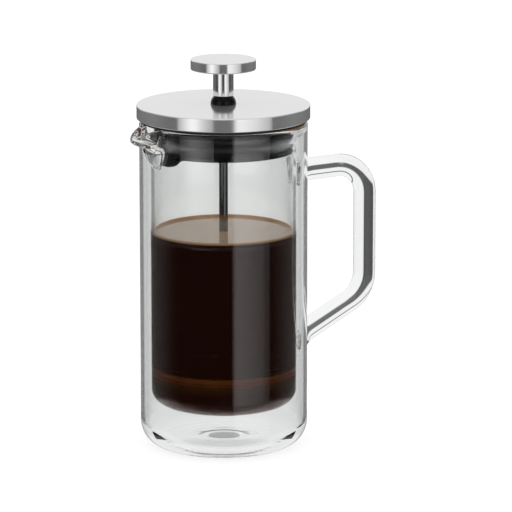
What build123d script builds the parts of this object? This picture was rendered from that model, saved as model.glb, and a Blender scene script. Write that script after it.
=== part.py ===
from build123d import *
from math import atan, cos, degrees, pi, radians, sin, sqrt
import os

# French press with a double-walled glass vessel, in millimetres.
# Origin: the vessel's axis at the table. +Z up, handle towards +X, spout towards -X.

# ---- Vessel ------------------------------------------------------------------
BORE_RADIUS = 39.4
INNER_WALL = 1.9
AIR_GAP = 4.2
JACKET_WALL = 1.8
RIM_HEIGHT = 186.3
RIM_THICKNESS = 3.9
MOUTH_DEPTH = 14.8
SEAM_DEPTH = 16.3
GAP_CROWN_WIDTH = 1.0
BASE_THICKNESS = 4.0
FLOOR_GAP = 20.0
INNER_FLOOR = 2.2
INNER_CORNER = 9.0
JACKET_CORNER = 13.5
PUNT_RADIUS = 20.0
PUNT_DEPTH = 1.3
VENT_RADIUS = 3.0

# ---- Vent plug ---------------------------------------------------------------
PLUG_HEAD_RADIUS = 9.0
PLUG_HEAD_THICKNESS = 0.9
PLUG_BARB_RADIUS = 3.9
PLUG_BARB_HEIGHT = 2.6

# ---- Spout -------------------------------------------------------------------
SPOUT_REACH = 9.2
SPOUT_HALF_WIDTH = 12.5
SPOUT_HALF_HEIGHT = 5.1
SPOUT_DROP = 6.9
SPOUT_INSET = 2.3
LIP_EDGE = 0.7
LIP_DROOP = 4.7
CHANNEL_HALF_WIDTH = 11.0
CHANNEL_DEPTH = 7.5
CHANNEL_RISE = 0.7

# ---- Handle ------------------------------------------------------------------
HANDLE_RADIUS = 6.4
HANDLE_STAND_OUT = 42.0
HANDLE_TOP_ROOT = 154.0
HANDLE_TOP_CORNER = 155.4
HANDLE_LOW_CORNER = 79.5
HANDLE_LOW_ROOT = 57.0
HANDLE_TOP_BEND = 17.0
HANDLE_LOW_BEND = 19.0
PAD_RADIUS = 9.2
PAD_DEPTH = 4.5

# ---- Lid ---------------------------------------------------------------------
SEAT_GAP = 0.3
GASKET_THICKNESS = 1.6
GASKET_WIDTH = 4.2
GASKET_INSET = 0.2
CAP_HEIGHT = 7.7
CAP_OVERHANG = 1.4
CAP_SHEET = 0.8
CAP_EDGE = 0.7
CAP_CLEARANCE = 0.3
INSERT_PLATE = 2.0
UPSTAND_WIDTH = 2.0
BOSS_RADIUS = 9.0
SKIRT_CLEARANCE = 0.4
SKIRT_WALL = 2.0
SKIRT_DEPTH = 16.4
APRON_DEPTH = 5.1
APRON_HALF_ANGLE = 32.5
APRON_FLAT_ANGLE = 14.0
SLOT_COUNT = 12
SLOT_PITCH = 4.8
SLOT_WIDTH = 1.4
SLOT_HEIGHT = 11.4
SLOT_SILL = 5.6

# ---- Rod guide in the middle of the lid ----------------------------------------
RUNNING_CLEARANCE = 0.05
SEATED_CLEARANCE = 0.02
GUIDE_HEAD_RADIUS = 7.25
GUIDE_TOP_RADIUS = 5.0
GUIDE_HEAD_HEIGHT = 4.75
GUIDE_SHANK_RADIUS = 4.4
GUIDE_SHANK_TAIL = 0.5
WASHER_RADIUS = 8.5
WASHER_THICKNESS = 1.0
GUIDE_NUT_RADIUS = 8.0
GUIDE_NUT_HEIGHT = 4.0

# ---- Plunger -----------------------------------------------------------------
ROD_RADIUS = 2.5
ROD_IN_STEM = 10.0
STEM_FOOT_RADIUS = 6.1
STEM_TOP_RADIUS = 5.8
STEM_HEIGHT = 14.8
STEM_SPIGOT_RADIUS = 3.2
STEM_SPIGOT_HEIGHT = 2.5
KNOB_RADIUS = 18.3
KNOB_THICKNESS = 5.9
KNOB_EDGE = 0.6
COLLAR_RADIUS = 8.0
COLLAR_HEIGHT = 4.0

# ---- Filter stack ------------------------------------------------------------
FILTER_CLEARANCE = 0.3
FILTER_HEIGHT = 15.4
MESH_THICKNESS = 0.4
MESH_WALL_HEIGHT = 4.6
PLATE_SHEET = 0.6
PLATE_RIM_HEIGHT = 2.4
PLATE_HOLE_COUNT = 10
PLATE_HOLE_RADIUS = 3.2
TAB_COUNT = 6
TAB_WIDTH = 5.0
COIL_RADIUS = 2.0
COIL_CLEARANCE = 0.1
EYELET_BARREL = 0.6
EYELET_FLANGE_RADIUS = 5.8
EYELET_SHEET = 0.3
EYELET_ROD_CLEARANCE = 0.2
CROSS_SHEET = 0.8
CROSS_INSET = 3.5
CROSS_HOLE_COUNT = 6
CROSS_HOLE_RADIUS = 6.8
CROSS_SMALL_RADIUS = 2.2
HUB_RADIUS = 8.0
HUB_HEIGHT = 6.0
HUB_FLUTE_COUNT = 16
HUB_FLUTE_RADIUS = 0.8
HUB_END_COVER = 0.8

# ---- Places that follow from the sizes above -----------------------------------
JACKET_RADIUS = BORE_RADIUS + INNER_WALL + AIR_GAP + JACKET_WALL
MOUTH_RADIUS = JACKET_RADIUS - RIM_THICKNESS
FLOOR_Z = BASE_THICKNESS + FLOOR_GAP + INNER_FLOOR
SEAM_Z = RIM_HEIGHT - SEAM_DEPTH
RIM_CENTRE_Z = RIM_HEIGHT - RIM_THICKNESS / 2
GASKET_Z = RIM_HEIGHT + SEAT_GAP
CAP_Z = GASKET_Z + GASKET_THICKNESS
CAP_TOP_Z = CAP_Z + CAP_HEIGHT
CAP_RADIUS = JACKET_RADIUS + CAP_OVERHANG
CAP_INSIDE_RADIUS = CAP_RADIUS - CAP_SHEET
INSERT_RADIUS = CAP_INSIDE_RADIUS - CAP_CLEARANCE
SKIRT_RADIUS = BORE_RADIUS - SKIRT_CLEARANCE
SKIRT_Z = RIM_HEIGHT - SKIRT_DEPTH
APRON_Z = SKIRT_Z - APRON_DEPTH
GUIDE_HOLE_RADIUS = GUIDE_SHANK_RADIUS + RUNNING_CLEARANCE
STEM_Z = CAP_TOP_Z + GUIDE_HEAD_HEIGHT
KNOB_Z = STEM_Z + STEM_HEIGHT
WASHER_Z = CAP_Z - RUNNING_CLEARANCE - WASHER_THICKNESS
GUIDE_NUT_Z = WASHER_Z - GUIDE_NUT_HEIGHT
MESH_Z = FLOOR_Z + FILTER_HEIGHT
MESH_TOP_Z = MESH_Z + MESH_WALL_HEIGHT
MESH_RADIUS = BORE_RADIUS - FILTER_CLEARANCE
PLATE_Z = MESH_Z + MESH_THICKNESS
COIL_CENTRE_RADIUS = MESH_RADIUS - MESH_THICKNESS - COIL_CLEARANCE - COIL_RADIUS
COIL_Z = PLATE_Z + COIL_CLEARANCE + COIL_RADIUS
PLATE_RADIUS = COIL_CENTRE_RADIUS - COIL_RADIUS - COIL_CLEARANCE
TAB_Z = COIL_Z + COIL_RADIUS + COIL_CLEARANCE
COLLAR_Z = PLATE_Z + PLATE_SHEET
CROSS_Z = MESH_Z - CROSS_SHEET
CROSS_RADIUS = MESH_RADIUS - CROSS_INSET
HUB_Z = CROSS_Z - HUB_HEIGHT
ROD_Z = HUB_Z + HUB_END_COVER
EYELET_HOLE_RADIUS = EYELET_FLANGE_RADIUS + EYELET_ROD_CLEARANCE

BOTTOM = (Align.CENTER, Align.CENTER, Align.MIN)


# ---- Shared shapes -------------------------------------------------------------
def disc(radius, low, high):
    """Upright cylinder on the vessel's axis."""
    return Pos(0, 0, low) * Cylinder(radius, high - low, align=BOTTOM)


def ring(inner, outer, low, high):
    """Upright tube on the vessel's axis."""
    return disc(outer, low, high) - disc(inner, low, high)


def cup_space(radius, corner, low, high):
    """Cylinder whose lower edge is rounded, like the inside or outside of a beaker."""
    blank = disc(radius, low, high)
    return fillet(blank.edges().group_by(Axis.Z)[0], corner)


def ellipsoid(centre, half_sizes):
    """Ball stretched to its three half sizes."""
    return Pos(*centre) * scale(Sphere(1.0), by=half_sizes)


def around(count, radius, shape, first_angle=0.0):
    """The same shape repeated on a circle about the vessel's axis."""
    step = 360.0 / count
    return [Rot(0, 0, first_angle + index * step) * Pos(radius, 0, 0) * shape for index in range(count)]


def at(radius, height):
    """Point of a turned outline."""
    return (radius, 0, height)


# ---- Vessel ------------------------------------------------------------------
def outer_jacket():
    """Outer glass wall and base, up to the seam where it joins the mouth."""
    outside = cup_space(JACKET_RADIUS, JACKET_CORNER, 0, SEAM_Z)
    inside = cup_space(JACKET_RADIUS - JACKET_WALL, JACKET_CORNER - JACKET_WALL, BASE_THICKNESS, SEAM_Z)
    punt = disc(PUNT_RADIUS, 0, PUNT_DEPTH)
    vent = disc(VENT_RADIUS, 0, BASE_THICKNESS)
    return outside - inside - punt - vent


def vent_plug():
    """Silicone plug that closes the hole between the walls."""
    head = disc(PLUG_HEAD_RADIUS, PUNT_DEPTH - PLUG_HEAD_THICKNESS, PUNT_DEPTH)
    shank = disc(VENT_RADIUS - SEATED_CLEARANCE, PUNT_DEPTH, BASE_THICKNESS)
    barb = Pos(0, 0, BASE_THICKNESS) * Cone(PLUG_BARB_RADIUS, VENT_RADIUS / 2, PLUG_BARB_HEIGHT, align=BOTTOM)
    return head + shank + barb


def gap_crown(arc_centre, arc_radius, gap_outside):
    """Radius and height where the flared inner wall has closed in on the jacket's wall."""
    reach = gap_outside - GAP_CROWN_WIDTH - arc_centre
    drop = sqrt(max(arc_radius ** 2 - reach ** 2, (RIM_THICKNESS / 2) ** 2))
    return arc_centre + sqrt(arc_radius ** 2 - drop ** 2), RIM_CENTRE_Z - drop


def flared_ring():
    """Flared ring that joins the two walls under a round rim."""
    start_z = RIM_HEIGHT - MOUTH_DEPTH
    rise = RIM_CENTRE_Z - start_z
    flare = MOUTH_RADIUS - BORE_RADIUS
    lean = 2 * atan(flare / rise)
    bend = (rise ** 2 + flare ** 2) / (4 * flare)
    wall_start = at(BORE_RADIUS, start_z)
    wall_middle = at(BORE_RADIUS + flare / 2, start_z + rise / 2)
    wall_end = at(MOUTH_RADIUS, RIM_CENTRE_Z)
    gap_start = at(BORE_RADIUS + INNER_WALL, start_z)
    gap_middle = at(wall_middle[0] + INNER_WALL * cos(lean), wall_middle[2] - INNER_WALL * sin(lean))
    gap_outside = JACKET_RADIUS - JACKET_WALL
    crown_radius, crown_z = gap_crown(MOUTH_RADIUS - bend, bend + INNER_WALL, gap_outside)
    crown_width = gap_outside - crown_radius
    crown_top = at(crown_radius + crown_width / 2, crown_z + crown_width / 2)
    edges = [
        Line(at(BORE_RADIUS, SEAM_Z), wall_start),
        TangentArc(wall_start, wall_middle, tangent=(0, 0, 1)),
        TangentArc(wall_end, wall_middle, tangent=(0, 0, -1)),
        ThreePointArc(wall_end, at(JACKET_RADIUS - RIM_THICKNESS / 2, RIM_HEIGHT), at(JACKET_RADIUS, RIM_CENTRE_Z)),
        Line(at(JACKET_RADIUS, RIM_CENTRE_Z), at(JACKET_RADIUS, SEAM_Z)),
        Line(at(JACKET_RADIUS, SEAM_Z), at(gap_outside, SEAM_Z)),
        Line(at(gap_outside, SEAM_Z), at(gap_outside, crown_z)),
        ThreePointArc(at(gap_outside, crown_z), crown_top, at(crown_radius, crown_z)),
        TangentArc(gap_middle, at(crown_radius, crown_z), tangent=(sin(lean), 0, cos(lean))),
        TangentArc(gap_start, gap_middle, tangent=(0, 0, 1)),
        Line(gap_start, at(BORE_RADIUS + INNER_WALL, SEAM_Z)),
        Line(at(BORE_RADIUS + INNER_WALL, SEAM_Z), at(BORE_RADIUS, SEAM_Z)),
    ]
    return revolve(make_face(edges), Axis.Z, 360)


def mouth_space():
    """Everything inside the bore and the flared mouth, as a solid."""
    start_z = RIM_HEIGHT - MOUTH_DEPTH
    middle_z = (start_z + RIM_CENTRE_Z) / 2
    middle_radius = (BORE_RADIUS + MOUTH_RADIUS) / 2
    above_z = RIM_HEIGHT + SPOUT_HALF_HEIGHT
    edges = [
        Line(at(0, FLOOR_Z), at(BORE_RADIUS, FLOOR_Z)),
        Line(at(BORE_RADIUS, FLOOR_Z), at(BORE_RADIUS, start_z)),
        TangentArc(at(BORE_RADIUS, start_z), at(middle_radius, middle_z), tangent=(0, 0, 1)),
        TangentArc(at(MOUTH_RADIUS, RIM_CENTRE_Z), at(middle_radius, middle_z), tangent=(0, 0, -1)),
        Line(at(MOUTH_RADIUS, RIM_CENTRE_Z), at(MOUTH_RADIUS, above_z)),
        Line(at(MOUTH_RADIUS, above_z), at(0, above_z)),
        Line(at(0, above_z), at(0, FLOOR_Z)),
    ]
    return revolve(make_face(edges), Axis.Z, 360)


def spout_bulge():
    """Solid bulge of the pouring lip, cut off along its drooping upper edge."""
    root_radius = JACKET_RADIUS - SPOUT_INSET
    length = SPOUT_REACH + SPOUT_INSET
    centre = (-root_radius, 0, RIM_HEIGHT - SPOUT_DROP)
    bulge = ellipsoid(centre, (length, SPOUT_HALF_WIDTH, SPOUT_HALF_HEIGHT))
    droop = degrees(atan(LIP_DROOP / length))
    cover = Box(4 * length, 4 * SPOUT_HALF_WIDTH, 2 * SPOUT_HALF_HEIGHT, align=BOTTOM)
    cover = Pos(-root_radius, 0, RIM_HEIGHT - RIM_THICKNESS / 4) * Rot(0, -droop, 0) * cover
    return bulge - cover


def spout_channel():
    """Space that the coffee pours through, from the mouth over the lip."""
    centre_radius = JACKET_RADIUS - 2 * SPOUT_INSET
    length = JACKET_RADIUS + SPOUT_REACH - LIP_EDGE - centre_radius
    centre = (-centre_radius, 0, RIM_HEIGHT + CHANNEL_RISE)
    return ellipsoid(centre, (length, CHANNEL_HALF_WIDTH, CHANNEL_DEPTH + CHANNEL_RISE))


def beaker_mouth():
    """Flared mouth with its round rim and the pouring lip, above the seam."""
    lip = spout_bulge() - mouth_space()
    return flared_ring() + lip - spout_channel()


def inner_beaker():
    """Inner glass wall and floor, up to the seam."""
    outside = cup_space(BORE_RADIUS + INNER_WALL, INNER_CORNER, FLOOR_Z - INNER_FLOOR, SEAM_Z)
    inside = cup_space(BORE_RADIUS, INNER_CORNER - INNER_WALL, FLOOR_Z, SEAM_Z)
    return outside - inside


def handle():
    """Bent glass rod, fused to the jacket through two thick pads."""
    reach = JACKET_RADIUS + HANDLE_STAND_OUT
    root = JACKET_RADIUS - HANDLE_RADIUS
    low_slope = (HANDLE_LOW_CORNER - HANDLE_LOW_ROOT) / HANDLE_STAND_OUT
    path = FilletPolyline(
        at(root, HANDLE_TOP_ROOT),
        at(reach, HANDLE_TOP_CORNER),
        at(reach, HANDLE_LOW_CORNER),
        at(root, HANDLE_LOW_ROOT - low_slope * HANDLE_RADIUS),
        radius=[HANDLE_TOP_BEND, HANDLE_LOW_BEND],
    )
    rod = sweep(Plane(path @ 0, z_dir=path % 0) * Circle(HANDLE_RADIUS), path=path)
    pad_size = (PAD_DEPTH, PAD_RADIUS, PAD_RADIUS)
    pads = [ellipsoid(at(JACKET_RADIUS, height), pad_size) for height in (HANDLE_TOP_ROOT, HANDLE_LOW_ROOT)]
    return rod + pads - disc(JACKET_RADIUS, 0, RIM_HEIGHT)


# ---- Lid ---------------------------------------------------------------------
def lid_cap():
    """Pressed steel cap: a flat top with a short straight rim."""
    shell = disc(CAP_RADIUS, CAP_Z, CAP_TOP_Z)
    shell = fillet(shell.edges().group_by(Axis.Z)[-1], CAP_EDGE)
    hollow = disc(CAP_INSIDE_RADIUS, CAP_Z, CAP_TOP_Z - CAP_SHEET)
    return shell - hollow - disc(GUIDE_HOLE_RADIUS, CAP_Z, CAP_TOP_Z)


def strainer_apron():
    """Deeper stretch of the skirt in front of the spout, ending in two smooth steps."""
    wide = SKIRT_RADIUS * sin(radians(APRON_HALF_ANGLE))
    flat = SKIRT_RADIUS * sin(radians(APRON_FLAT_ANGLE))
    middle = (wide + flat) / 2
    middle_z = (SKIRT_Z + APRON_Z) / 2

    def point(across, height):
        return (0, across, height)

    edges = [
        Line(point(-wide, SKIRT_Z), point(wide, SKIRT_Z)),
        TangentArc(point(wide, SKIRT_Z), point(middle, middle_z), tangent=(0, -1, 0)),
        TangentArc(point(flat, APRON_Z), point(middle, middle_z), tangent=(0, 1, 0)),
        Line(point(flat, APRON_Z), point(-flat, APRON_Z)),
        TangentArc(point(-flat, APRON_Z), point(-middle, middle_z), tangent=(0, -1, 0)),
        TangentArc(point(-wide, SKIRT_Z), point(-middle, middle_z), tangent=(0, 1, 0)),
    ]
    curtain = extrude(make_face(edges), SKIRT_RADIUS, dir=(-1, 0, 0))
    return curtain & ring(SKIRT_RADIUS - SKIRT_WALL, SKIRT_RADIUS, APRON_Z, SKIRT_Z)


def strainer_slots():
    """Row of upright slots that let the coffee through to the spout."""
    slot = Box(4 * SKIRT_WALL, SLOT_WIDTH, SLOT_HEIGHT, align=BOTTOM)
    slot = Pos(SKIRT_RADIUS - SKIRT_WALL / 2, 0, APRON_Z + SLOT_SILL) * slot
    first = 180 - SLOT_PITCH * (SLOT_COUNT - 1) / 2
    return [Rot(0, 0, first + index * SLOT_PITCH) * slot for index in range(SLOT_COUNT)]


def lid_insert():
    """Black moulding under the cap: plate, upstand, guide boss, skirt and strainer."""
    plate = disc(INSERT_RADIUS, CAP_Z, CAP_Z + INSERT_PLATE)
    under_cap = CAP_TOP_Z - CAP_SHEET
    upstand = ring(INSERT_RADIUS - UPSTAND_WIDTH, INSERT_RADIUS, CAP_Z + INSERT_PLATE, under_cap)
    boss = disc(BOSS_RADIUS, CAP_Z + INSERT_PLATE, under_cap)
    skirt = ring(SKIRT_RADIUS - SKIRT_WALL, SKIRT_RADIUS, SKIRT_Z, CAP_Z)
    moulding = plate + upstand + boss + skirt + strainer_apron()
    return moulding - disc(GUIDE_HOLE_RADIUS, CAP_Z, under_cap) - strainer_slots()


def lid_gasket():
    """Silicone ring that the lid rests on."""
    outer = JACKET_RADIUS - GASKET_INSET
    return ring(outer - GASKET_WIDTH, outer, GASKET_Z, CAP_Z)


# ---- Rod guide ---------------------------------------------------------------
def rod_guide():
    """Bush with a domed head on the lid and a shank down through it."""
    bore = ROD_RADIUS + RUNNING_CLEARANCE
    tail_z = GUIDE_NUT_Z - GUIDE_SHANK_TAIL
    edges = [
        Line(at(bore, tail_z), at(GUIDE_SHANK_RADIUS, tail_z)),
        Line(at(GUIDE_SHANK_RADIUS, tail_z), at(GUIDE_SHANK_RADIUS, CAP_TOP_Z)),
        Line(at(GUIDE_SHANK_RADIUS, CAP_TOP_Z), at(GUIDE_HEAD_RADIUS, CAP_TOP_Z)),
        TangentArc(at(GUIDE_HEAD_RADIUS, CAP_TOP_Z), at(GUIDE_TOP_RADIUS, STEM_Z), tangent=(0, 0, 1)),
        Line(at(GUIDE_TOP_RADIUS, STEM_Z), at(bore, STEM_Z)),
        Line(at(bore, STEM_Z), at(bore, tail_z)),
    ]
    return revolve(make_face(edges), Axis.Z, 360)


def guide_washer():
    """Flat washer between the lid insert and the guide's nut."""
    return ring(GUIDE_SHANK_RADIUS + SEATED_CLEARANCE, WASHER_RADIUS, WASHER_Z, WASHER_Z + WASHER_THICKNESS)


def guide_nut():
    """Hexagonal nut that clamps the guide in the lid."""
    hexagon = extrude(Pos(0, 0, GUIDE_NUT_Z) * RegularPolygon(GUIDE_NUT_RADIUS, 6), GUIDE_NUT_HEIGHT)
    return hexagon - disc(GUIDE_SHANK_RADIUS + SEATED_CLEARANCE, GUIDE_NUT_Z, WASHER_Z)


# ---- Plunger -----------------------------------------------------------------
def plunger_rod():
    """Straight steel rod from inside the knob's stem to inside the filter's hub."""
    return disc(ROD_RADIUS, ROD_Z, STEM_Z + ROD_IN_STEM)


def rod_collar():
    """Stop collar on the rod, above the filter."""
    collar = ring(ROD_RADIUS + SEATED_CLEARANCE, COLLAR_RADIUS, COLLAR_Z, COLLAR_Z + COLLAR_HEIGHT)
    return chamfer(collar.edges().group_by(Axis.Z)[-1].sort_by(SortBy.RADIUS)[-1], COLLAR_HEIGHT / 3)


def knob_stem():
    """Turned post between the rod and the knob's disc, a little wider at its foot."""
    post = Pos(0, 0, STEM_Z) * Cone(STEM_FOOT_RADIUS, STEM_TOP_RADIUS, STEM_HEIGHT, align=BOTTOM)
    spigot = disc(STEM_SPIGOT_RADIUS, KNOB_Z, KNOB_Z + STEM_SPIGOT_HEIGHT)
    socket = disc(ROD_RADIUS + RUNNING_CLEARANCE, STEM_Z, STEM_Z + ROD_IN_STEM + SEATED_CLEARANCE)
    return post + spigot - socket


def knob_disc():
    """Flat round disc that the palm presses on."""
    blank = disc(KNOB_RADIUS, KNOB_Z, KNOB_Z + KNOB_THICKNESS)
    blank = fillet(blank.edges(), KNOB_EDGE)
    return blank - disc(STEM_SPIGOT_RADIUS + SEATED_CLEARANCE, KNOB_Z, KNOB_Z + STEM_SPIGOT_HEIGHT + SEATED_CLEARANCE)


# ---- Filter stack ------------------------------------------------------------
def spring_plate():
    """Top plate of the filter, with drain holes, a rim and tabs that hold the coil."""
    plate = disc(PLATE_RADIUS, PLATE_Z, PLATE_Z + PLATE_SHEET)
    rim = ring(PLATE_RADIUS - PLATE_SHEET, PLATE_RADIUS, PLATE_Z, TAB_Z + PLATE_SHEET)
    low_rim = ring(PLATE_RADIUS - 2 * PLATE_SHEET, PLATE_RADIUS, PLATE_Z, PLATE_Z + PLATE_RIM_HEIGHT)
    tab_length = COIL_RADIUS + PLATE_SHEET
    tab = Box(tab_length, TAB_WIDTH, PLATE_SHEET, align=BOTTOM)
    tabs = around(TAB_COUNT, PLATE_RADIUS - PLATE_SHEET + tab_length / 2, Pos(0, 0, TAB_Z) * tab)
    window_width = 2 * pi * PLATE_RADIUS / TAB_COUNT - TAB_WIDTH
    window = Pos(0, 0, PLATE_Z + PLATE_RIM_HEIGHT) * Box(12 * PLATE_SHEET, window_width, TAB_Z, align=BOTTOM)
    windows = around(TAB_COUNT, PLATE_RADIUS, window, first_angle=180 / TAB_COUNT)
    hole = Pos(0, 0, PLATE_Z) * Cylinder(PLATE_HOLE_RADIUS, PLATE_SHEET, align=BOTTOM)
    holes = around(PLATE_HOLE_COUNT, (PLATE_RADIUS + COLLAR_RADIUS) / 2, hole)
    blank = plate + (rim - windows) + low_rim + tabs
    return blank - holes - disc(EYELET_HOLE_RADIUS, PLATE_Z, PLATE_Z + PLATE_SHEET)


def filter_spring():
    """Outer envelope of the coil that presses the mesh against the glass."""
    return Pos(0, 0, COIL_Z) * Torus(COIL_CENTRE_RADIUS, COIL_RADIUS)


def mesh_screen():
    """Fine mesh disc whose edge turns up along the glass."""
    cup = disc(MESH_RADIUS, MESH_Z, MESH_TOP_Z)
    hollow = disc(MESH_RADIUS - MESH_THICKNESS, MESH_Z + MESH_THICKNESS, MESH_TOP_Z)
    barrel_hole = ROD_RADIUS + EYELET_ROD_CLEARANCE + EYELET_BARREL + SEATED_CLEARANCE
    return cup - hollow - disc(barrel_hole, MESH_Z, MESH_TOP_Z)


def mesh_eyelet():
    """Pressed eyelet round the hole in the middle of the mesh."""
    bore = ROD_RADIUS + EYELET_ROD_CLEARANCE
    low = MESH_Z - EYELET_SHEET
    high = PLATE_Z + EYELET_SHEET
    barrel = ring(bore, bore + EYELET_BARREL, low, high)
    lower = ring(bore, EYELET_FLANGE_RADIUS, low, MESH_Z)
    upper = ring(bore, EYELET_FLANGE_RADIUS, PLATE_Z, high)
    return barrel + lower + upper


def cross_plate():
    """Stiff perforated plate under the mesh."""
    plate = disc(CROSS_RADIUS, CROSS_Z, MESH_Z)
    hole_circle = (CROSS_RADIUS + HUB_RADIUS) / 2
    hole = Pos(0, 0, CROSS_Z) * Cylinder(CROSS_HOLE_RADIUS, CROSS_SHEET, align=BOTTOM)
    small = Pos(0, 0, CROSS_Z) * Cylinder(CROSS_SMALL_RADIUS, CROSS_SHEET, align=BOTTOM)
    holes = around(CROSS_HOLE_COUNT, hole_circle, hole)
    small_circle = CROSS_RADIUS - 2 * CROSS_SMALL_RADIUS
    smalls = around(CROSS_HOLE_COUNT, small_circle, small, first_angle=180 / CROSS_HOLE_COUNT)
    return plate - disc(EYELET_HOLE_RADIUS, CROSS_Z, MESH_Z) - holes - smalls


def cross_hub():
    """Fluted hub nut that carries the filter on the rod's thread."""
    body = disc(HUB_RADIUS, HUB_Z, CROSS_Z)
    spigot_top = MESH_Z - EYELET_SHEET - RUNNING_CLEARANCE
    spigot = disc(EYELET_HOLE_RADIUS - SEATED_CLEARANCE, CROSS_Z, spigot_top)
    flute = Pos(0, 0, HUB_Z) * Cylinder(HUB_FLUTE_RADIUS, HUB_HEIGHT, align=BOTTOM)
    thread = disc(ROD_RADIUS + RUNNING_CLEARANCE, HUB_Z, MESH_Z)
    return body + spigot - around(HUB_FLUTE_COUNT, HUB_RADIUS, flute) - thread


# ---- Output --------------------------------------------------------------------
PIECES = [
    outer_jacket,
    inner_beaker,
    beaker_mouth,
    handle,
    vent_plug,
    lid_cap,
    lid_insert,
    lid_gasket,
    rod_guide,
    guide_washer,
    guide_nut,
    plunger_rod,
    rod_collar,
    knob_stem,
    knob_disc,
    spring_plate,
    filter_spring,
    mesh_screen,
    mesh_eyelet,
    cross_plate,
    cross_hub,
]

os.makedirs("parts", exist_ok=True)
for piece in PIECES:
    export_step(piece(), f"parts/{piece.__name__}.step")
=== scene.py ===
import math

import bmesh
import bpy
import numpy as np
from mathutils import Matrix, Vector


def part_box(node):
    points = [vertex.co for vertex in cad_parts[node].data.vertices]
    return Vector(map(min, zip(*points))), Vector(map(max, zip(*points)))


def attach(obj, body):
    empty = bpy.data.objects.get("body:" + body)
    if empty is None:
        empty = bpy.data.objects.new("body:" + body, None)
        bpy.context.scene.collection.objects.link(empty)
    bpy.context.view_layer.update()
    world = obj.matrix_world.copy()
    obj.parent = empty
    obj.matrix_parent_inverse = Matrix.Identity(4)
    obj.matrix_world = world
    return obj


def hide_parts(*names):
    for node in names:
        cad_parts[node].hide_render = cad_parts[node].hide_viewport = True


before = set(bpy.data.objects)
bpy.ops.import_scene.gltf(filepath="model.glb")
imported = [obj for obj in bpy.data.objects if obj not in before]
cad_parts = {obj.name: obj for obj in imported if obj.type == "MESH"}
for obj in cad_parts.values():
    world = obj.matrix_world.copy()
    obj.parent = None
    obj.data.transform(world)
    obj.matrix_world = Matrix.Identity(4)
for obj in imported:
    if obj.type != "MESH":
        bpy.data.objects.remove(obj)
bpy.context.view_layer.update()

# French press, in metres, in the row frame: +Z up, handle towards +X, spout towards -X.
MM = 0.001

# ---- Sizes read from the frame -------------------------------------------------
JACKET_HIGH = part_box("outer_jacket")[1]
BEAKER_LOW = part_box("inner_beaker")[0]
MOUTH_LOW, MOUTH_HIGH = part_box("beaker_mouth")
HANDLE_LOW, HANDLE_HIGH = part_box("handle")
PLUG_LOW, PLUG_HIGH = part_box("vent_plug")
CAP_LOW, CAP_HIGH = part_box("lid_cap")
GASKET_LOW, GASKET_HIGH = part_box("lid_gasket")
GUIDE_LOW, GUIDE_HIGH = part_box("rod_guide")
ROD_LOW, ROD_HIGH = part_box("plunger_rod")
STEM_LOW, STEM_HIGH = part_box("knob_stem")
KNOB_LOW, KNOB_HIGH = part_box("knob_disc")
SCREEN_LOW, SCREEN_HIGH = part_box("mesh_screen")
COIL_LOW, COIL_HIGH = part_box("filter_spring")

# ---- Vessel sizes ----------------------------------------------------------------
JACKET_R = JACKET_HIGH.y
RIM_Z = MOUTH_HIGH.z
SPOUT_TIP = -MOUTH_LOW.x
SCREEN_CLEARANCE = 0.3 * MM
BORE_R = SCREEN_HIGH.x + SCREEN_CLEARANCE
INNER_WALL = 1.9 * MM
JACKET_WALL = 1.8 * MM
RIM_THICKNESS = 3.9 * MM
MOUTH_DEPTH = 14.8 * MM
BASE_THICKNESS = 4.0 * MM
INNER_FLOOR = 2.2 * MM
JACKET_CORNER = 13.5 * MM
INNER_CORNER = 9.0 * MM
GAP_CROWN_WIDTH = 0.25 * MM
WALL_SPLIT_Z = 160 * MM
PUNT_R = 20.8 * MM
PUNT_SLOPE = 7.8 * MM
PUNT_ROUNDING = 20.0 * MM
PUNT_DEPTH = 1.3 * MM
BEAKER_FLOOR_Z = BEAKER_LOW.z + INNER_FLOOR
COFFEE_Z = 123.3 * MM

# ---- Camera ----------------------------------------------------------------------
CAMERA_AT = Vector((-0.8595, -1.8432, 0.5605))
CAMERA_LOOK = Vector((0.0166, -0.0077, 0.1084))
CAMERA_LENS = 259.07
CAMERA_SENSOR = 36.0


# ==== Mesh helpers ==================================================================
def mesh_object(name, vertices, faces, sharp_angle=None):
    """A smooth-shaded mesh object made from vertices and faces."""
    mesh = bpy.data.meshes.new(name)
    mesh.from_pydata([tuple(v) for v in vertices], [], faces)
    mesh.validate()
    mesh.polygons.foreach_set("use_smooth", [True] * len(mesh.polygons))
    if sharp_angle is not None:
        mesh.set_sharp_from_angle(angle=math.radians(sharp_angle))
    piece = bpy.data.objects.new(name, mesh)
    bpy.context.scene.collection.objects.link(piece)
    return piece


def rounded(outline, steps=6, support=0.12 * MM):
    """Points of an outline whose corners (radius, height, fillet) are rounded off."""
    points = []
    count = len(outline)
    for index, (r, z, fillet) in enumerate(outline):
        corner = Vector((r, z))
        if fillet <= 0:
            points.append((r, z))
            continue
        before = Vector(outline[index - 1][:2])
        after = Vector(outline[(index + 1) % count][:2])
        inward = (before - corner).normalized()
        outward = (after - corner).normalized()
        half = inward.angle(outward) / 2
        reach = fillet / math.tan(half)
        centre = corner + (inward + outward).normalized() * fillet / math.sin(half)
        start = corner + inward * reach
        end = corner + outward * reach
        points.append(tuple(start + inward * support))
        first = start - centre
        sweep = first.angle_signed(end - centre)
        for step in range(steps + 1):
            points.append(tuple(centre + Matrix.Rotation(-sweep * step / steps, 2) @ first))
        points.append(tuple(end + outward * support))
    return points


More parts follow.
